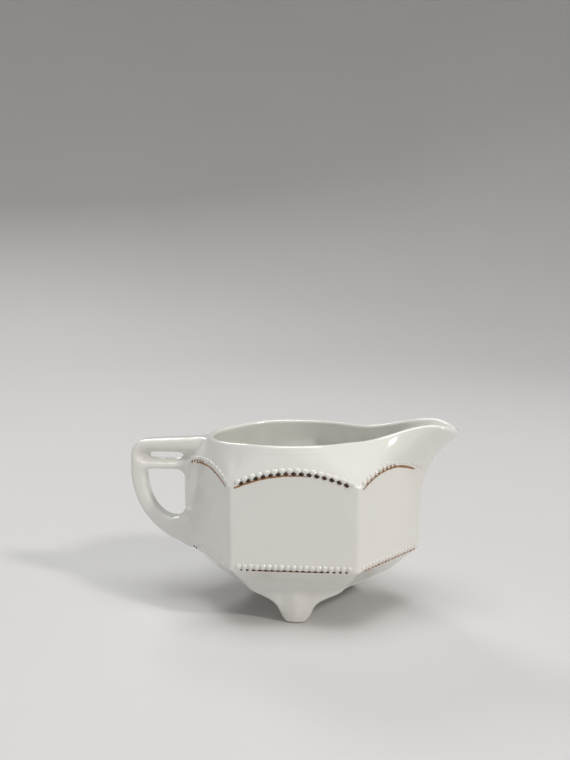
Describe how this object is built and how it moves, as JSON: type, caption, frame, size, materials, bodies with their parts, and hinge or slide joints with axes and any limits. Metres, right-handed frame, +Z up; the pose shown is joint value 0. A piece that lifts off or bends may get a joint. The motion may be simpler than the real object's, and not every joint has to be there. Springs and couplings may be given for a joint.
{
  "type": "porcelain cream jug",
  "caption": "Hexagonal panelled cream jug on three feet, with a round mouth and pouring lip, pierced loop handle, and beaded, gilded borders.",
  "frame": {"origin": "on the table, under the middle of the jug's length and width", "axes": "+X towards the pouring lip, -X towards the handle, +Z up, -Y towards the front panel"},
  "size_m": [0.1258, 0.0738, 0.0708],
  "materials": {
    "porcelain": "white porcelain under a clear, glossy, slightly warm glaze",
    "gilding": "thin burnished gold, worn through in places"
  },
  "bodies": {
    "root": {"body_shell": "porcelain", "handle": "porcelain", "foot_front": "porcelain", "foot_back_lip_side": "porcelain", "foot_back_handle_side": "porcelain", "upper_beading_back_lip": "porcelain", "upper_beading_back": "porcelain", "upper_beading_back_handle": "porcelain", "upper_beading_front_handle": "porcelain", "upper_beading_front": "porcelain", "upper_beading_front_lip": "porcelain", "lower_beading_back_lip": "porcelain", "lower_beading_back": "porcelain", "lower_beading_back_handle": "porcelain", "lower_beading_front_handle": "porcelain", "lower_beading_front": "porcelain", "lower_beading_front_lip": "porcelain", "upper_gilding_back_lip": "gilding", "upper_gilding_back": "gilding", "upper_gilding_back_handle": "gilding", "upper_gilding_front_handle": "gilding", "upper_gilding_front": "gilding", "upper_gilding_front_lip": "gilding", "lower_gilding_back_lip": "gilding", "lower_gilding_back": "gilding", "lower_gilding_back_handle": "gilding", "lower_gilding_front_handle": "gilding", "lower_gilding_front": "gilding", "lower_gilding_front_lip": "gilding"}
  },
  "joints": []
}
